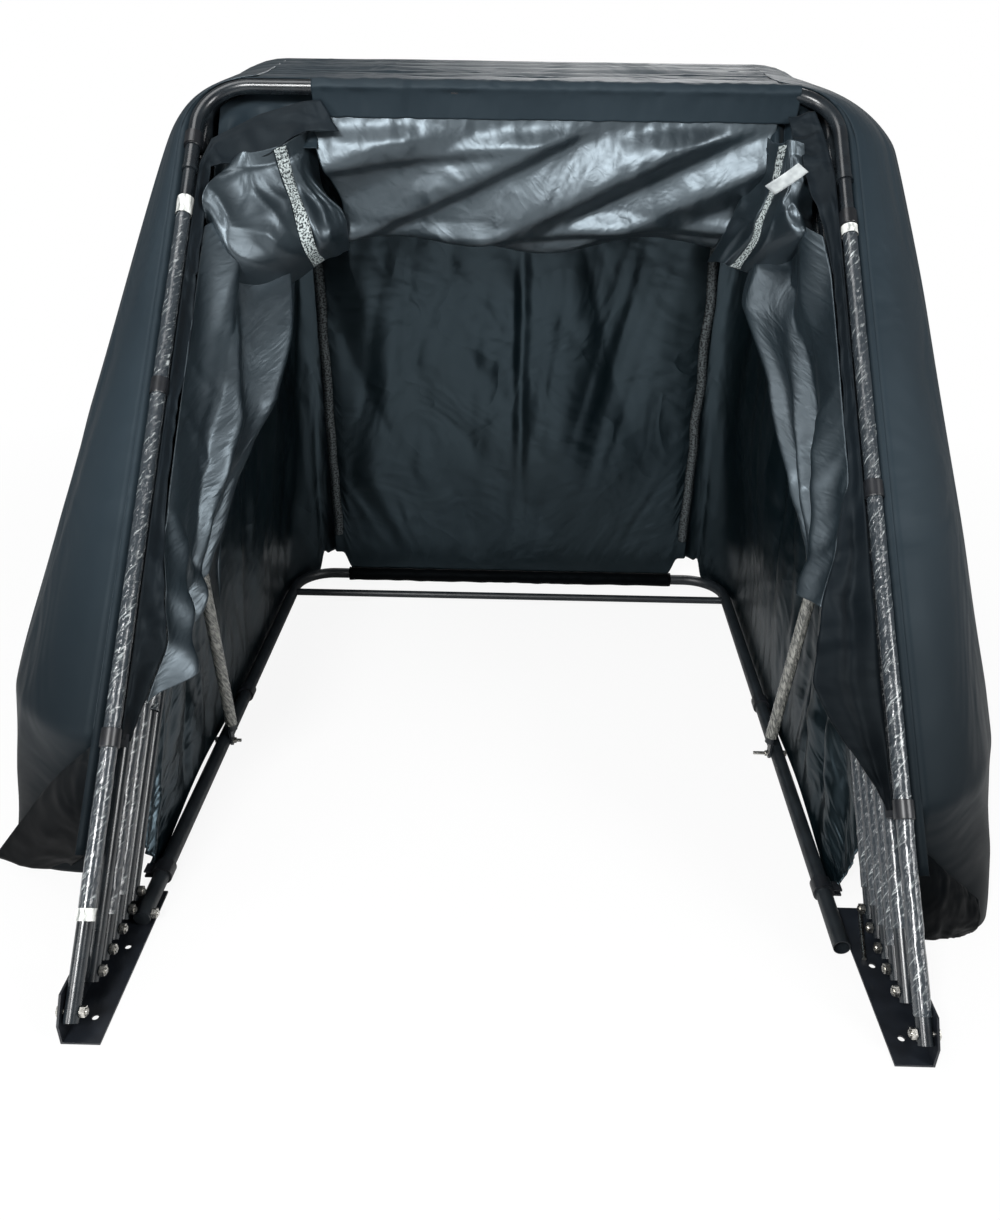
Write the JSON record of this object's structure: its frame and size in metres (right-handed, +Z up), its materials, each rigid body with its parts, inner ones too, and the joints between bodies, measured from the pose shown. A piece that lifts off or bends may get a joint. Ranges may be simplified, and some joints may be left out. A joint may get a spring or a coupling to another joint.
{
  "type": "folding scooter shelter",
  "caption": "Folding shelter for a scooter: steel hoops swing on two floor plates and carry a cloth cover, shown folded back and open.",
  "frame": {"origin": "middle of the four floor anchor holes of the two plates, at floor level", "axes": "+Z up, +Y from the open front to the back wall, +X across"},
  "size_m": [1.5357, 1.3797, 1.1215],
  "materials": {
    "plate_steel": "black powder coat",
    "base_tube": "black powder coat, low gloss",
    "hoop_tube": "black powder coat, partly under clear film",
    "strut_wrap": "tube in grey fluffy wrap",
    "zinc_bolt": "bright zinc",
    "clip_plastic": "moulded, slightly glossy",
    "cover_outside": "matte woven cloth",
    "cover_lining": "smooth shiny coating"
  },
  "bodies": {
    "base": {"plate_left": "plate_steel", "plate_right": "plate_steel", "pivot_bolts_left": "zinc_bolt", "pivot_bolts_right": "zinc_bolt", "rail_left": "base_tube", "rail_right": "base_tube", "rear_bar": "base_tube", "crossbar": "base_tube", "strut_left": "strut_wrap", "strut_right": "strut_wrap", "strut_bolts": "zinc_bolt", "rail_clips": "clip_plastic", "loose_bolt": "zinc_bolt", "hem_sleeve": "cover_outside", "back_panel": "cover_lining", "side_wall_left": "cover_outside", "side_wall_right": "cover_outside", "side_cover_left": "cover_outside", "side_cover_right": "cover_outside", "side_lining_left": "cover_lining", "side_lining_right": "cover_lining", "roof_slack": "cover_lining", "hoop_6_top": "hoop_tube", "hoop_6_leg_left": "hoop_tube", "hoop_6_leg_right": "hoop_tube", "hoop_6_sleeve": "cover_outside"},
    "hoop_1": {"hoop_1_top": "hoop_tube", "hoop_1_leg_left": "hoop_tube", "hoop_1_leg_right": "hoop_tube", "hoop_1_sleeve": "cover_outside", "hoop_1_clips": "clip_plastic"},
    "hoop_2": {"hoop_2_top": "hoop_tube", "hoop_2_leg_left": "hoop_tube", "hoop_2_leg_right": "hoop_tube", "hoop_2_sleeve": "cover_outside"},
    "hoop_3": {"hoop_3_top": "hoop_tube", "hoop_3_leg_left": "hoop_tube", "hoop_3_leg_right": "hoop_tube", "hoop_3_sleeve": "cover_outside"},
    "hoop_4": {"hoop_4_top": "hoop_tube", "hoop_4_leg_left": "hoop_tube", "hoop_4_leg_right": "hoop_tube", "hoop_4_sleeve": "cover_outside"},
    "hoop_5": {"hoop_5_top": "hoop_tube", "hoop_5_leg_left": "hoop_tube", "hoop_5_leg_right": "hoop_tube", "hoop_5_sleeve": "cover_outside"}
  },
  "joints": [
    {"name": "hoop_1_swing", "type": "hinge", "parent": "base", "child": "hoop_1", "pos_m": [0, -0.08, 0.036], "axis": [1, 0, 0], "range_deg": [0, 134.4]},
    {"name": "hoop_2_swing", "type": "hinge", "parent": "base", "child": "hoop_2", "pos_m": [0, -0.014, 0.036], "axis": [1, 0, 0], "range_deg": [0, 107.57]},
    {"name": "hoop_3_swing", "type": "hinge", "parent": "base", "child": "hoop_3", "pos_m": [0, 0.023, 0.036], "axis": [1, 0, 0], "range_deg": [0, 80.69]},
    {"name": "hoop_4_swing", "type": "hinge", "parent": "base", "child": "hoop_4", "pos_m": [0, 0.06, 0.036], "axis": [1, 0, 0], "range_deg": [0, 53.81]},
    {"name": "hoop_5_swing", "type": "hinge", "parent": "base", "child": "hoop_5", "pos_m": [0, 0.097, 0.036], "axis": [1, 0, 0], "range_deg": [0, 26.93]}
  ],
  "couplings": [
    {"joint": "hoop_2_swing", "follows": "hoop_1_swing", "ratio": 0.8},
    {"joint": "hoop_3_swing", "follows": "hoop_1_swing", "ratio": 0.6},
    {"joint": "hoop_4_swing", "follows": "hoop_1_swing", "ratio": 0.4},
    {"joint": "hoop_5_swing", "follows": "hoop_1_swing", "ratio": 0.2}
  ]
}
